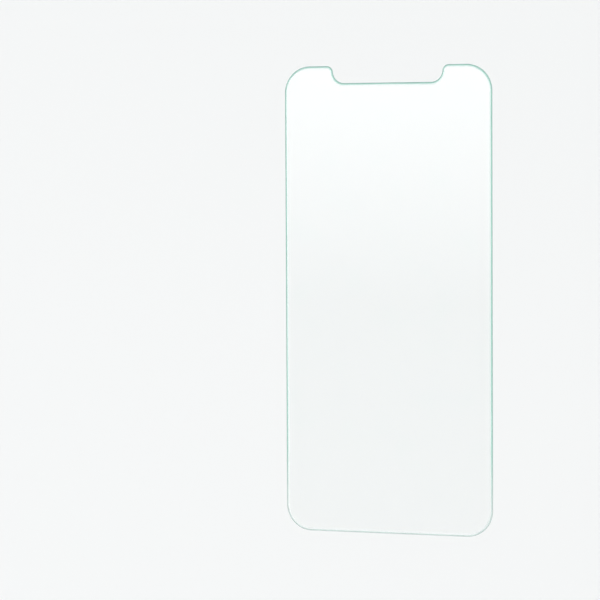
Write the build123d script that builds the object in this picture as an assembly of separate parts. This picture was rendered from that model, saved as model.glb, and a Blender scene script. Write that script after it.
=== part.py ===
from build123d import *
from math import acos, degrees, radians, sin
import os

# Screen protector: one sheet of tempered glass, lying on its back with the front face up.
# +X is to the right and +Y towards the notched end, seen from the front. Sizes are in millimetres.

# The sheet
sheet_width = 63.0
sheet_length = 136.0
sheet_thickness = 0.33
corner_radius = 7.7

# The notch in the top edge, between two ears. Each wall of the notch is an S: a wide bend up from its floor,
# then a tight bend out onto the ear. The tight bend is given by the turn of the flat front face inside it.
ear_width = 14.8
notch_depth = 5.0
floor_bend_radius = 3.5
ear_face_radius = 0.9

# The edge of the glass, from front to back: polished to a curve, left upright, then ground to a small bevel
rim_width = 1.0
side_height = 0.09
back_bevel = 0.04

# What follows from those sizes
half_width = sheet_width / 2
half_length = sheet_length / 2
notch_half_width = half_width - ear_width
ear_bend_radius = ear_face_radius + rim_width
side_top = back_bevel + side_height

# Both bends of a wall turn by the same angle: a right angle, or less where the notch is shallower than both
bends_height = floor_bend_radius + ear_bend_radius
bend_turn = degrees(acos(max(0, 1 - notch_depth / bends_height)))
bend_reach = sin(radians(bend_turn))


def right_hand_arcs(inset):
    """Round stretches of the outline's right half, from the notch's floor to the foot, moved in by inset.

    The centres stay where they are: the corners and the ear's bend get smaller, and the floor's bend larger.
    """
    floor_bend = CenterArc(
        (notch_half_width - floor_bend_radius * bend_reach, half_length - notch_depth + floor_bend_radius),
        floor_bend_radius + inset, start_angle=-90, arc_size=bend_turn)
    ear_bend = CenterArc(
        (notch_half_width + ear_bend_radius * bend_reach, half_length - ear_bend_radius),
        ear_bend_radius - inset, start_angle=90 + bend_turn, arc_size=-bend_turn)
    corner_x = half_width - corner_radius
    corner_y = half_length - corner_radius
    top_corner = CenterArc((corner_x, corner_y), corner_radius - inset, start_angle=90, arc_size=-90)
    foot_corner = CenterArc((corner_x, -corner_y), corner_radius - inset, start_angle=0, arc_size=-90)
    return [floor_bend, ear_bend, top_corner, foot_corner]


def outline(inset=0):
    """Closed line round the sheet, moved in by inset: arcs, straights between them, and their mirror."""
    arcs = right_hand_arcs(inset)
    floor_middle = Vector(0, half_length - notch_depth - inset)
    foot_middle = Vector(0, inset - half_length)
    starts = [floor_middle] + [arc @ 1 for arc in arcs]
    ends = [arc @ 0 for arc in arcs] + [foot_middle]
    straights = [Line(start, end) for start, end in zip(starts, ends) if start != end]
    half = Curve() + arcs + straights
    return half + mirror(half, Plane.YZ)


def rim_section():
    """Cut through the rim: x runs outwards to the edge at 0, y runs up from the back face.

    The polished curve leaves the front face without a step and meets the upright side.
    """
    polished = TangentArc((-rim_width, sheet_thickness), (0, side_top), tangent=(1, 0))
    others = Polyline(
        (0, side_top), (0, back_bevel), (-back_bevel, 0), (-rim_width, 0), (-rim_width, sheet_thickness))
    return make_face(polished + others)


def glass_sheet():
    """The flat of the sheet, with the rim carried all the way round it."""
    edge = outline()
    outwards = Vector(0, 0, 1).cross(edge % 0)
    rim = sweep(Plane(edge @ 0, x_dir=outwards, z_dir=edge % 0) * rim_section(), path=edge)
    flat = extrude(make_face(outline(rim_width)), sheet_thickness, dir=(0, 0, 1))
    return flat + rim


os.makedirs("parts", exist_ok=True)
export_step(glass_sheet(), "parts/glass_sheet.step")
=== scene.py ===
from math import acos, asin, degrees, radians, sin

import bpy
import numpy as np
from mathutils import Matrix, Vector


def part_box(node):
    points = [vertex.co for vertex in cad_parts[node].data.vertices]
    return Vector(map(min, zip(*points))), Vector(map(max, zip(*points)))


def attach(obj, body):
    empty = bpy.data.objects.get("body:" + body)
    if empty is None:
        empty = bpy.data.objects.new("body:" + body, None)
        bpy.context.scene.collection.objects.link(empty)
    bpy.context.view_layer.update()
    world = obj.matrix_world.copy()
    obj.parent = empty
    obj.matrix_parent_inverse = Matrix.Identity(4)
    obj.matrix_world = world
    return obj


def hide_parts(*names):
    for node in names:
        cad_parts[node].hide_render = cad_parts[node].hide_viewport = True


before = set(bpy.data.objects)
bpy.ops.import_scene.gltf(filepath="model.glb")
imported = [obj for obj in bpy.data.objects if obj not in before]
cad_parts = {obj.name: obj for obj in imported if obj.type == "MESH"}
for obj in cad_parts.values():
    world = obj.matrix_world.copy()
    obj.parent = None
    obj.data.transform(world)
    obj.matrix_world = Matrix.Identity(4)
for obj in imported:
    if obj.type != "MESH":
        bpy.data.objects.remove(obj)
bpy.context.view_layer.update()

# Screen protector of clear tempered glass, lying on its back on a pale floor.
# Sizes are in metres, angles in degrees and the lights' powers in watts.
MM = 0.001

# The sheet's overall size comes from the frame; the rest of its outline and its rim are as in the solid
high_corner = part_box("glass_sheet")[1]
HALF_WIDTH = high_corner.x
HALF_LENGTH = high_corner.y
THICKNESS = high_corner.z
CORNER_RADIUS = 7.7 * MM
EAR_WIDTH = 14.8 * MM
NOTCH_DEPTH = 5.0 * MM
FLOOR_BEND_RADIUS = 3.5 * MM
EAR_BEND_RADIUS = 1.9 * MM
RIM_WIDTH = 1.0 * MM
SIDE_HEIGHT = 0.09 * MM
BACK_BEVEL = 0.04 * MM

# How finely the round stretches are divided, and the turn between two faces from which their edge is sharp
CORNER_STEPS = 40
FLOOR_BEND_STEPS = 24
EAR_BEND_STEPS = 16
POLISH_STEPS = 16
SHARP_ANGLE = 30

# The glass's tint at shares of the way over the rim, from the flat face to the edge; the foot has its own,
# paler and greyer, a painted highlight
FACE_TINT = (0.985, 0.996, 0.992, 1)
RIM_TINT = [
    (0.0, FACE_TINT),
    (0.40, (0.84, 0.98, 0.95, 1)),
    (0.58, (0.52, 0.87, 0.77, 1)),
    (0.74, (0.20, 0.41, 0.34, 1)),
    (1.0, (0.20, 0.47, 0.39, 1)),
]
FOOT_PAINTED_HIGHLIGHT_TINT = [
    (0.0, FACE_TINT),
    (0.40, (0.91, 0.965, 0.955, 1)),
    (0.58, (0.67, 0.80, 0.77, 1)),
    (0.74, (0.45, 0.55, 0.525, 1)),
    (1.0, (0.45, 0.57, 0.54, 1)),
]
# Between these two places along the length the rim takes on the foot's painted highlight, standing in for
# the light its polished slope reflects
FOOT_PAINTED_HIGHLIGHT_START = -44 * MM
FOOT_PAINTED_HIGHLIGHT_END = -60 * MM

# The glass's finish: haze at shares of the way over the rim, roughness, and the marks that polishing leaves
GLASS_IOR = 1.52
HAZE_START = 0.12
HAZE_END = 0.65
EDGE_CLEARNESS = 0.55
POLISHED_ROUGHNESS = 0.01
GROUND_ROUGHNESS = 0.4
POLISH_PATCHES_PER_METRE = 90
POLISH_DRIFT = 0.06
WAVES_PER_METRE = 250
WAVE_HEIGHT = 0.02 * MM
NOISE_DETAIL = 1.0

# The floor lies a hair below the glass, as under a sheet that isn't stuck down
FLOOR_GAP = 0.02 * MM
FLOOR_SIDE = 40.0
FLOOR_COLOUR = (0.86, 0.865, 0.865, 1)
FLOOR_ROUGHNESS = 0.9
FLOOR_GLOSS = 0.1

# The room: its glow, the soft panels hung all round it, and the lighter ceiling.
# Heights run from 0 at the horizon to 1 overhead.
ROOM_COLOUR = (0.985, 1.0, 1.0, 1)
ROOM_GLOW = 0.44
HORIZON_GLOW = 0.565
HORIZON_TOP = 0.1
PANEL_GLOW = 0.6
PANEL_COUNT = 12
PANEL_RISE_START = 0.02
PANEL_RISE_END = 0.15
PANEL_FALL_START = 0.5
PANEL_FALL_END = 0.8
CEILING_GLOW = 0.3
CEILING_START = 0.8
CEILING_END = 0.9

# Softboxes round the sheet: place, width, height and power. Their borders fade over a share of the size.
SOFTBOXES = {
    "foot_light": ((-0.2, -1.1, 1.3), 2.4, 1.6, 11.8),
    "left_light": ((-0.94, -0.05, 1.25), 1.4, 0.6, 7.2),
    "right_light": ((1.2, 0.2, 1.3), 1.8, 1.4, 10.8),
}
SOFTBOX_FADE = 0.3

# The softbox that the front face mirrors hangs level over the floor
VEIL_PLACE = (-0.25, 0.19, 1.2)
VEIL_WIDTH = 1.7
VEIL_HEIGHT = 0.5
VEIL_POWER = 3.9
VEIL_FADE = 0.34

# The view: the sheet's turn, tilt and roll before the camera, and the pixel on which its middle falls
IMAGE_SIDE = 600
FOCAL_PIXELS = 2897
SENSOR_WIDTH = 36.0
CAMERA_DISTANCE = 0.8403
NEAREST_SEEN = 0.01
SHEET_TURN = -20.01
SHEET_TILT = 2.73
SHEET_ROLL = 0.277
SHEET_PIXEL = (388.17, 300.23)


def bend(centre, radius, start, turn, steps, side):
    """Points round a circle from the angle start through turn, and the unit normals into the glass there.

    side is 1 where the glass lies inside the circle, and -1 where it lies outside.
    """
    angles = np.radians(np.linspace(start, start + turn, steps + 1))
    spokes = np.column_stack([np.cos(angles), np.sin(angles)])
    return np.array(centre) + radius * spokes, -side * spokes


def outline():
    """Points clockwise round the sheet's edge, and the unit normals into the glass there.

    The right half has four bends, from the notch's floor to the foot, and the left half is its mirror image
    in the opposite order. Neighbouring bends meet, or a straight runs between their ends.
    """
    turn = degrees(acos(1 - NOTCH_DEPTH / (FLOOR_BEND_RADIUS + EAR_BEND_RADIUS)))
    reach = sin(radians(turn))
    notch_half = HALF_WIDTH - EAR_WIDTH
    floor_centre = (notch_half - FLOOR_BEND_RADIUS * reach, HALF_LENGTH - NOTCH_DEPTH + FLOOR_BEND_RADIUS)
    ear_centre = (notch_half + EAR_BEND_RADIUS * reach, HALF_LENGTH - EAR_BEND_RADIUS)
    corner_x = HALF_WIDTH - CORNER_RADIUS
    corner_y = HALF_LENGTH - CORNER_RADIUS
    floor_bend = bend(floor_centre, FLOOR_BEND_RADIUS, -90, turn, FLOOR_BEND_STEPS, -1)
    ear_bend = bend(ear_centre, EAR_BEND_RADIUS, 90 + turn, -turn, EAR_BEND_STEPS, 1)
    top_corner = bend((corner_x, corner_y), CORNER_RADIUS, 90, -90, CORNER_STEPS, 1)
    foot_corner = bend((corner_x, -corner_y), CORNER_RADIUS, 0, -90, CORNER_STEPS, 1)
    # The floor's bend ends where the ear's begins, so that point is taken once
    before_ear = [values[:-1] for values in floor_bend]
    points, normals = (np.vstack(values) for values in zip(before_ear, ear_bend, top_corner, foot_corner))
    flip = np.array([-1, 1])
    return np.vstack([points, points[::-1] * flip]), np.vstack([normals, normals[::-1] * flip])


def rim_section():
    """Inset from the edge, height, and closeness to the edge, from the front face's border to the back's.

    The polished curve is a circle's arc that starts level with the front face. The side below it is upright,
    and the bevel at the back is flat. Closeness runs from 0 on both faces to 1 at the side.
    """
    drop = THICKNESS - SIDE_HEIGHT - BACK_BEVEL
    radius = (RIM_WIDTH ** 2 + drop ** 2) / (2 * drop)
    angles = np.linspace(0, asin(RIM_WIDTH / radius), POLISH_STEPS + 1)
    polished_inset = RIM_WIDTH - radius * np.sin(angles)
    inset = np.append(polished_inset, [0, BACK_BEVEL])
    height = np.append(THICKNESS - radius * (1 - np.cos(angles)), [BACK_BEVEL, 0])
    closeness = np.append(1 - polished_inset / RIM_WIDTH, [1, 0])
    return inset, height, closeness


def glass_sheet():
    """The whole sheet as one closed mesh.

    The rim is a grid: each outline point, moved along its normal by the section's inset and up to the
    section's height. The first and last rings of the grid border the front and back faces.
    """
    points, normals = outline()
    inset, height, closeness = rim_section()
    rings, along = len(inset), len(points)
    places = np.empty((rings, along, 3))
    places[..., :2] = points + inset[:, None, None] * normals
    places[..., 2] = height[:, None]
    index = np.arange(rings * along).reshape(rings, along)
    following = np.roll(index, -1, axis=1)
    quads = np.stack([index[:-1], following[:-1], following[1:], index[1:]], axis=-1).reshape(-1, 4)
    faces = quads.tolist() + [index[0, ::-1].tolist(), index[-1].tolist()]
    mesh = bpy.data.meshes.new("glass_sheet_surface")
    mesh.from_pydata(places.reshape(-1, 3), [], faces)
    mesh.shade_smooth()
    mesh.set_sharp_from_angle(angle=radians(SHARP_ANGLE))
    mesh.attributes.new("closeness", "FLOAT", "POINT").data.foreach_set("value", np.repeat(closeness, along))
    ground = np.zeros(len(faces))
    ground[POLISH_STEPS * along:len(quads)] = 1
    mesh.attributes.new("ground", "FLOAT", "FACE").data.foreach_set("value", ground)
    piece = bpy.data.objects.new("glass_sheet_finished", mesh)
    piece.modifiers.new("flats_stay_flat", "WEIGHTED_NORMAL").keep_sharp = True
    bpy.context.scene.collection.objects.link(piece)
    return piece


def node_maker(tree):
    """A function that adds a node to tree, sets its properties, and links or sets its inputs."""
    def make(kind, inputs=(), **settings):
        node = tree.nodes.new(kind)
        for name, value in settings.items():
            setattr(node, name, value)
        for name, value in dict(inputs).items():
            if isinstance(value, bpy.types.NodeSocket):
                tree.links.new(value, node.inputs[name])
            else:
                node.inputs[name].default_value = value
        return node
    return make


def new_material(name):
    """An empty node material, with the function that adds nodes to it."""
    material = bpy.data.materials.new(name)
    material.use_nodes = True
    material.node_tree.nodes.clear()
    return material, node_maker(material.node_tree)


def ramp(make, value, start, end, low=0, high=1):
    """An even change with value, from low at start to high at end, and level beyond them."""
    ends = {"From Min": start, "From Max": end, "To Min": low, "To Max": high}
    return make("ShaderNodeMapRange", {"Value": value, **ends}).outputs["Result"]


def arithmetic(make, operation, *values, **settings):
    """The result of one operation on the values, in their order."""
    return make("ShaderNodeMath", dict(enumerate(values)), operation=operation, **settings).outputs["Value"]


def noise(make, place, per_metre):
    """Soft random patches, so many in a metre."""
    patches = make("ShaderNodeTexNoise", {"Vector": place, "Scale": per_metre, "Detail": NOISE_DETAIL})
    return patches.outputs["Fac"]


def tint_ramp(make, nearness, tints):
    """The colour at a share of the way over the rim, blended evenly between the tints given."""
    blend = make("ShaderNodeValToRGB", {"Fac": nearness})
    stops = blend.color_ramp.elements
    stops[0].position, stops[0].color = tints[0]
    stops[1].position, stops[1].color = tints[-1]
    for position, colour in tints[1:-1]:
        stops.new(position).color = colour
    return blend.outputs["Color"]


def clear_glass():
    """Clear polished glass, blue-green in the outer part of its rim, with a side and bevel ground to a matt.

    The tint follows the closeness to the edge, which a slow noise shifts a little. On the polished part
    a ramp of the length turns it greyer and paler towards the foot, a painted highlight for the light that
    the foot's polished rim reflects. A ramp of the same closeness makes the outer rim hazy. The polished rim
    is faintly wavy, as hand polishing leaves it.
    """
    material, make = new_material("clear_glass")
    closeness = make("ShaderNodeAttribute", attribute_name="closeness").outputs["Fac"]
    ground = make("ShaderNodeAttribute", attribute_name="ground").outputs["Fac"]
    place = make("ShaderNodeTexCoord").outputs["Object"]
    drift = ramp(make, noise(make, place, POLISH_PATCHES_PER_METRE), 0, 1, -POLISH_DRIFT, POLISH_DRIFT)
    nearness = arithmetic(make, "ADD", closeness, drift)
    lengthwise = make("ShaderNodeSeparateXYZ", {"Vector": place}).outputs["Y"]
    # Painted highlight: the rim's tint turns paler and greyer towards the foot, in place of the light its
    # polished slope reflects there
    foot_painted_highlight = ramp(make, lengthwise, FOOT_PAINTED_HIGHLIGHT_START, FOOT_PAINTED_HIGHLIGHT_END)
    tint = make("ShaderNodeMixRGB", {
        "Fac": arithmetic(make, "SUBTRACT", foot_painted_highlight, ground, use_clamp=True),
        "Color1": tint_ramp(make, nearness, RIM_TINT),
        "Color2": tint_ramp(make, nearness, FOOT_PAINTED_HIGHLIGHT_TINT)})
    waves = make("ShaderNodeBump", {
        "Strength": closeness, "Distance": WAVE_HEIGHT, "Height": noise(make, place, WAVES_PER_METRE)})
    glass = make("ShaderNodeBsdfPrincipled", {
        "Base Color": tint.outputs["Color"],
        "Roughness": ramp(make, ground, 0, 1, POLISHED_ROUGHNESS, GROUND_ROUGHNESS),
        "Normal": waves.outputs["Normal"],
        "IOR": GLASS_IOR,
        "Transmission Weight": ramp(make, nearness, HAZE_START, HAZE_END, 1, EDGE_CLEARNESS)})
    make("ShaderNodeOutputMaterial", {"Surface": glass.outputs["BSDF"]})
    return material


def pale_floor():
    """Plain matt off-white board."""
    material, make = new_material("pale_floor")
    matt = make("ShaderNodeBsdfPrincipled", {
        "Base Color": FLOOR_COLOUR, "Roughness": FLOOR_ROUGHNESS, "Specular IOR Level": FLOOR_GLOSS})
    make("ShaderNodeOutputMaterial", {"Surface": matt.outputs["BSDF"]})
    return material


def floor():
    """One flat square under the sheet, centred on it."""
    corners = np.array([(-1, -1), (1, -1), (1, 1), (-1, 1)]) * FLOOR_SIDE / 2
    mesh = bpy.data.meshes.new("floor")
    mesh.from_pydata(np.column_stack([corners, np.full(4, -FLOOR_GAP)]), [], [(0, 1, 2, 3)])
    mesh.materials.append(pale_floor())
    board = bpy.data.objects.new("floor", mesh)
    bpy.context.scene.collection.objects.link(board)


def room():
    """Grey surroundings with a ring of soft panels hung all round, a little above the floor.

    A sine of the compass angle makes the panels, and two ramps of the height fade them out below and above.
    A third ramp brightens the horizon to the tone of the far floor, so that no line shows between them, and
    a fourth brightens the ceiling.
    """
    world = bpy.data.worlds.new("room")
    world.use_nodes = True
    make = node_maker(world.node_tree)
    way = make("ShaderNodeSeparateXYZ", {"Vector": make("ShaderNodeTexCoord").outputs["Generated"]}).outputs
    height = way["Z"]
    compass = arithmetic(make, "ARCTAN2", way["Y"], way["X"])
    wave = arithmetic(make, "SINE", arithmetic(make, "MULTIPLY", compass, PANEL_COUNT))
    panels = ramp(make, wave, -1, 1, 0, PANEL_GLOW)
    rise = ramp(make, height, PANEL_RISE_START, PANEL_RISE_END)
    fall = ramp(make, height, PANEL_FALL_END, PANEL_FALL_START)
    band = arithmetic(make, "MULTIPLY", rise, fall)
    grey = ramp(make, height, 0, HORIZON_TOP, HORIZON_GLOW, ROOM_GLOW)
    walls = arithmetic(make, "MULTIPLY_ADD", panels, band, grey)
    ceiling = ramp(make, height, CEILING_START, CEILING_END, 0, CEILING_GLOW)
    background = world.node_tree.nodes["Background"]
    background.inputs["Color"].default_value = ROOM_COLOUR
    world.node_tree.links.new(arithmetic(make, "ADD", walls, ceiling), background.inputs["Strength"])
    bpy.context.scene.world = world


def softbox(name, place, aim, width, height, power, fade):
    """A rectangular studio light at place, turned to face aim, whose glow fades to nothing at its borders.

    The glow is the product of two ramps, one of the distance in from the ends of its width and one from
    those of its height. Each ramp is full at the share of the size that fade gives.
    """
    light = bpy.data.lights.new(name, "AREA")
    light.shape = "RECTANGLE"
    light.size = width
    light.size_y = height
    light.energy = power
    lamp = bpy.data.objects.new(name, light)
    lamp.location = place
    lamp.rotation_euler = (Vector(aim) - Vector(place)).to_track_quat("-Z", "Y").to_euler()
    bpy.context.scene.collection.objects.link(lamp)
    light.use_nodes = True
    make = node_maker(light.node_tree)
    spot = make("ShaderNodeNewGeometry").outputs["Parametric"]
    shares = make("ShaderNodeSeparateXYZ", {"Vector": spot}).outputs
    middle = 0.5
    fades = [ramp(make, arithmetic(make, "PINGPONG", shares[axis], middle), 0, fade) for axis in ("X", "Y")]
    glow = arithmetic(make, "MULTIPLY", *fades)
    light.node_tree.links.new(glow, light.node_tree.nodes["Emission"].inputs["Strength"])


def studio():
    """The room, softboxes round the sheet, and one overhead whose image lies as a veil on the front face."""
    room()
    for name, (place, width, height, power) in SOFTBOXES.items():
        softbox(name, place, (0, 0, 0), width, height, power, SOFTBOX_FADE)
    below = (VEIL_PLACE[0], VEIL_PLACE[1], 0)
    softbox("veil_light", VEIL_PLACE, below, VEIL_WIDTH, VEIL_HEIGHT, VEIL_POWER, VEIL_FADE)


def camera():
    """The view from the camera's place, found the other way round.

    The sheet is turned, tilted and rolled before a fixed camera, then set at its distance on its pixel's
    ray. The inverse of that move puts the camera over the sheet as it lies.
    """
    turned = (Matrix.Rotation(radians(SHEET_ROLL), 4, "Z") @ Matrix.Rotation(radians(SHEET_TILT), 4, "X")
              @ Matrix.Rotation(radians(SHEET_TURN), 4, "Y"))
    across = (SHEET_PIXEL[0] - IMAGE_SIDE / 2) / FOCAL_PIXELS * CAMERA_DISTANCE
    up = (IMAGE_SIDE / 2 - SHEET_PIXEL[1]) / FOCAL_PIXELS * CAMERA_DISTANCE
    sheet_in_view = Matrix.Translation((across, up, -CAMERA_DISTANCE)) @ turned
    lens = bpy.data.cameras.new("camera")
    lens.sensor_width = SENSOR_WIDTH
    lens.lens = FOCAL_PIXELS * SENSOR_WIDTH / IMAGE_SIDE
    lens.clip_start = NEAREST_SEEN
    eye = bpy.data.objects.new("camera", lens)
    eye.matrix_world = sheet_in_view.inverted()
    bpy.context.scene.collection.objects.link(eye)
    bpy.context.scene.camera = eye


bpy.context.scene.view_settings.view_transform = "Standard"

# The glass casts no shadow, and light that the floor scatters passes it by, so the floor below stays bright
sheet = glass_sheet()
sheet.data.materials.append(clear_glass())
sheet.visible_shadow = False
sheet.visible_diffuse = False
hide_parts("glass_sheet")
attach(sheet, "root")
floor()
studio()
camera()
